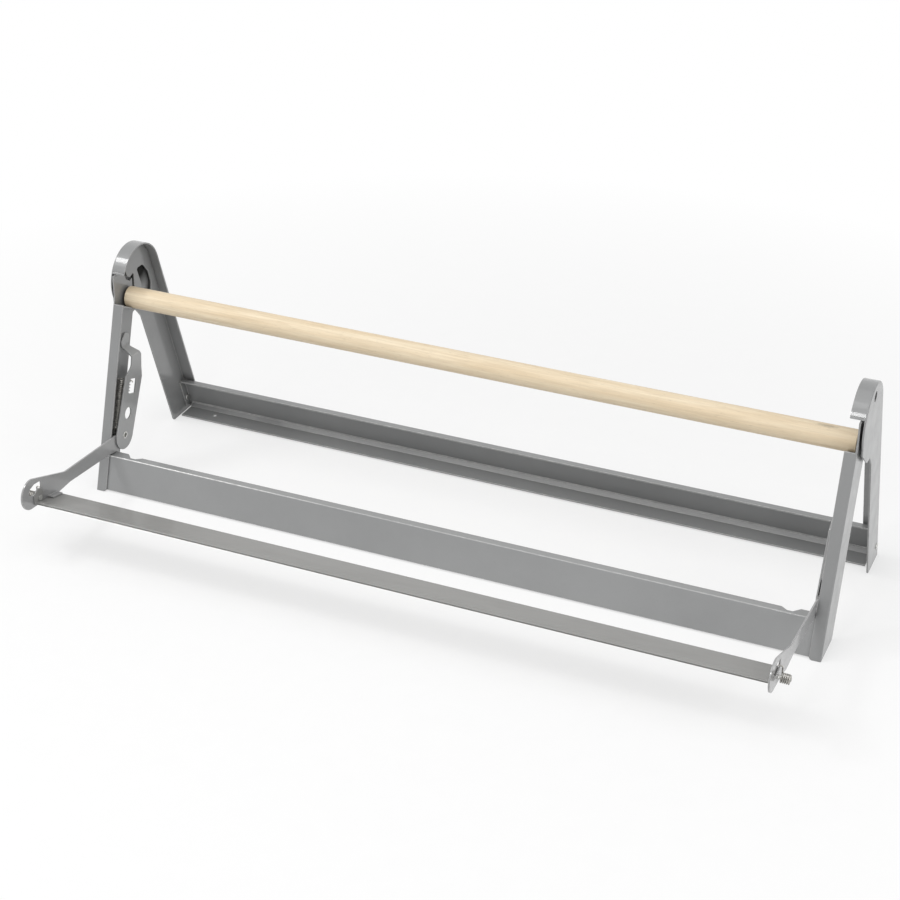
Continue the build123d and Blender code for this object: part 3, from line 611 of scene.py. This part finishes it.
class CUTTER_OT_stand(bpy.types.Operator):
    """Enamel on the legs, rails and spring plates"""

    bl_idname = "cutter.stand"
    bl_label = "Stand"

    def execute(self, context):
        colours, finish = context.scene.cutter_colours, context.scene.cutter_finish
        grey, wear_and_highlight = colours.enamel, colours.wear_and_highlight
        # Brighter rubbed wear and painted highlight on the rails' folds.
        bright = shade(wear_and_highlight, 1.5)
        paint(FRONT_LEGS, enamel("front leg enamel", grey, wear_and_highlight, finish))
        # The rear legs carry the near-black painted shadow behind the arch.
        paint(REAR_LEGS, enamel("rear leg enamel", grey, wear_and_highlight, finish, painted_shadow=True))
        # The rails and spring plates get lighter copies of the one stand enamel, painted light for
        # how they are lit.
        paint(["front_rail"], enamel(
            "front rail enamel", shade(grey, 1.15), bright, finish, 0.38, 0.4, highlight_crest="front_rail"))
        paint(["rear_rail"], enamel(
            "rear rail enamel", shade(grey, 1.08), bright, finish, 0.38, 0.4))
        paint(PLATES, enamel("plate enamel", shade(grey, 1.36), wear_and_highlight, finish))
        return {"FINISHED"}


class CUTTER_OT_arms(bpy.types.Operator):
    """Enamel on the two swing arms"""

    bl_idname = "cutter.arms"
    bl_label = "Swing arms"

    def execute(self, context):
        colours, finish = context.scene.cutter_colours, context.scene.cutter_finish
        paint(ARMS, enamel("arm enamel", colours.arm, colours.wear_and_highlight, finish))
        return {"FINISHED"}


class CUTTER_OT_blade(bpy.types.Operator):
    """Enamel on the blade bar and ground steel on its cutting strip"""

    bl_idname = "cutter.blade"
    bl_label = "Blade"

    def execute(self, context):
        colours, finish = context.scene.cutter_colours, context.scene.cutter_finish
        # Fainter rubbed wear and painted highlight on the blade's edges.
        dim = shade(colours.wear_and_highlight, 0.6)
        paint(["blade_bar"], enamel("blade enamel", colours.blade, dim, finish, 0.42, 0.2))
        paint(["cutting_strip"], ground_steel("strip steel", colours.strip))
        return {"FINISHED"}


class CUTTER_OT_fasteners(bpy.types.Operator):
    """Zinc plate on the rivets, pins and bushes"""

    bl_idname = "cutter.fasteners"
    bl_label = "Fasteners"

    def execute(self, context):
        paint(FASTENERS, zinc_plate("zinc plate", context.scene.cutter_colours.zinc))
        return {"FINISHED"}


class CUTTER_OT_roll_bar(bpy.types.Operator):
    """Maple on the roll bar"""

    bl_idname = "cutter.roll_bar"
    bl_label = "Roll bar"

    def execute(self, context):
        colours, finish = context.scene.cutter_colours, context.scene.cutter_finish
        paint(["roll_bar"], maple("maple", colours.maple_pale, colours.maple_dark, finish))
        return {"FINISHED"}


class CUTTER_OT_springs(bpy.types.Operator):
    """Wound wire springs in place of the four spring nodes"""

    bl_idname = "cutter.springs"
    bl_label = "Springs"

    def execute(self, context):
        scene = context.scene
        wire = oiled_wire("spring wire", scene.cutter_colours.wire)
        pulls = scene.cutter_tension
        tail, head = np.array(pulls.lower), np.array(pulls.upper)
        coils = tube(*tension_line(pulls), pulls.wire)
        for side, sign, piece in both_sides("tension_coil_", wire, *coils):
            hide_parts("tension_spring_" + side)
            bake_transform(piece)
        twists = scene.cutter_return
        coils = tube(*return_line(twists), twists.wire)
        for side, sign, piece in both_sides("return_coil_", wire, *coils):
            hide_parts("blade_return_spring_" + side)
            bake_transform(piece)
        return {"FINISHED"}


class CUTTER_OT_stage(bpy.types.Operator):
    """Pale floor, soft lamps and the camera"""

    bl_idname = "cutter.stage"
    bl_label = "Stage"

    def execute(self, context):
        scene = context.scene
        stage = scene.cutter_stage
        half = stage.floor / 2
        mesh = bpy.data.meshes.new("floor")
        corners = [(-half, -half), (half, -half), (half, half), (-half, half)]
        mesh.from_pydata([(x, y, -FLOOR_DROP) for x, y in corners], [], [(0, 1, 2, 3)])
        floor = bpy.data.objects.new("floor", mesh)
        mesh.materials.append(floor_paper())
        scene.collection.objects.link(floor)
        studio_world(scene, stage.ambient)
        lamp("top lamp", (-0.75, -0.9, 2.1), (-0.1, 0, 0.1), (1.9, 1.5), stage.top_light)
        lamp("key lamp", (-1.6, -0.6, 2.1), (-0.3, 0, 0.2), (0.5, 0.35), stage.key_light)
        lamp("overhead lamp", (0.3, 0.1, 2.2), (0, 0, 0.1), (1.6, 1.2), stage.over_light)
        lamp("side lamp", (1.7, -0.25, 0.8), (0.45, 0, 0.15), (0.9, 0.9), stage.side_light)
        lamp("front lamp", (0.093, -1.918, 1.595), (0.4, 0, 0.25), (0.25, 0.45), stage.front_light)
        place_camera(scene)
        scene.view_settings.view_transform = "Standard"
        return {"FINISHED"}


def floor_paper():
    """Pale paper that shows the object's soft shadow and is lifted towards white for the camera."""
    material = bpy.data.materials.new("floor paper")
    material.use_nodes = True
    tree = material.node_tree
    tree.nodes.clear()
    coords = add(tree, "TexCoord").outputs["Object"]
    grain = noise(tree, coords, 30.0, 4.0, 0.6)
    tone = tint(tree, spread(tree, grain, 0.3, 0.7), (0.86, 0.86, 0.86), (0.88, 0.88, 0.88))
    paper = add(tree, "BsdfDiffuse", {"Color": tone})
    white = add(tree, "Emission", {"Color": (1, 1, 1, 1), "Strength": 1.0})
    lifted = spread(tree, measure(tree, coords), 0.55, 1.3, 0.62, 1.0)
    seen = sums(tree, "MULTIPLY", seen_rays(tree), lifted)
    mix = add(tree, "MixShader", {0: seen, 1: paper.outputs[0], 2: white.outputs[0]})
    add(tree, "OutputMaterial", {"Surface": mix.outputs[0]})
    return material


def seen_rays(tree):
    """One for rays from the camera, and for those that gloss or glass sends on."""
    path = add(tree, "LightPath")
    direct = sums(tree, "MAXIMUM", path.outputs["Is Camera Ray"], path.outputs["Is Glossy Ray"])
    return sums(tree, "MAXIMUM", direct, path.outputs["Is Transmission Ray"])


def studio_world(scene, ambient):
    """White surroundings where they are seen, and an even lower light elsewhere."""
    world = bpy.data.worlds.new("studio")
    scene.world = world
    world.use_nodes = True
    tree = world.node_tree
    tree.nodes.clear()
    strength = add(tree, "Mix", {0: seen_rays(tree), 2: ambient, 3: 1.0}, data_type="FLOAT")
    light = add(tree, "Background", {"Color": (1, 1, 1, 1), "Strength": strength.outputs[0]})
    add(tree, "OutputWorld", {"Surface": light.outputs[0]})


def lamp(name, place, target, size, power):
    """Rectangular lamp that faces a point."""
    data = bpy.data.lights.new(name, "AREA")
    data.shape = "RECTANGLE"
    data.size, data.size_y = size
    data.energy = power
    found = bpy.data.objects.new(name, data)
    found.location = place
    found.rotation_euler = (Vector(target) - Vector(place)).to_track_quat("-Z", "Y").to_euler()
    bpy.context.scene.collection.objects.link(found)


def place_camera(scene):
    """Camera at the photograph's place and angle, about 24 degrees to the right and 30 up."""
    azimuth, elevation = (math.radians(angle) for angle in CAMERA_ANGLES)
    level = math.cos(elevation)
    back = Vector((math.sin(azimuth) * level, -math.cos(azimuth) * level, math.sin(elevation)))
    right = Vector((math.cos(azimuth), math.sin(azimuth), 0))
    data = bpy.data.cameras.new("camera")
    data.lens = CAMERA_LENS
    data.sensor_width = SENSOR_WIDTH
    data.clip_end = 50.0
    camera = bpy.data.objects.new("camera", data)
    turn = Matrix((right, back.cross(right), back)).transposed()
    camera.matrix_world = Matrix.Translation(CAMERA_PLACE) @ turn.to_4x4()
    scene.collection.objects.link(camera)
    scene.camera = camera


class CUTTER_PT_panel(bpy.types.Panel):
    """Buttons and settings of the paper roll cutter"""

    bl_idname = "CUTTER_PT_panel"
    bl_label = "Paper roll cutter"
    bl_space_type = "VIEW_3D"
    bl_region_type = "UI"
    bl_category = "Cutter"

    def draw(self, context):
        layout = self.layout
        for operator in OPERATORS:
            layout.operator(operator.bl_idname)
        for group in GROUPS:
            settings = getattr(context.scene, group)
            box = layout.box()
            for key in settings.bl_rna.properties.keys():
                if key not in ("rna_type", "name"):
                    box.prop(settings, key)


GROUPS = {
    "cutter_colours": CutterColours,
    "cutter_finish": CutterFinish,
    "cutter_tension": TensionSpring,
    "cutter_return": ReturnSpring,
    "cutter_stage": StageSettings,
}
OPERATORS = (
    CUTTER_OT_stand, CUTTER_OT_arms, CUTTER_OT_blade, CUTTER_OT_fasteners,
    CUTTER_OT_roll_bar, CUTTER_OT_springs, CUTTER_OT_stage,
)


def register():
    """Make the settings, buttons and panel known to Blender."""
    for name, group in GROUPS.items():
        bpy.utils.register_class(group)
        setattr(bpy.types.Scene, name, PointerProperty(type=group))
    for operator in OPERATORS:
        bpy.utils.register_class(operator)
    bpy.utils.register_class(CUTTER_PT_panel)


def unregister():
    """Take them away again."""
    bpy.utils.unregister_class(CUTTER_PT_panel)
    for operator in reversed(OPERATORS):
        bpy.utils.unregister_class(operator)
    for name, group in reversed(list(GROUPS.items())):
        delattr(bpy.types.Scene, name)
        bpy.utils.unregister_class(group)


def main():
    """Register, then run every step in order."""
    register()
    bpy.ops.cutter.stand()
    bpy.ops.cutter.arms()
    bpy.ops.cutter.blade()
    bpy.ops.cutter.fasteners()
    bpy.ops.cutter.roll_bar()
    bpy.ops.cutter.springs()
    bpy.ops.cutter.stage()


if __name__ == "__main__":
    main()
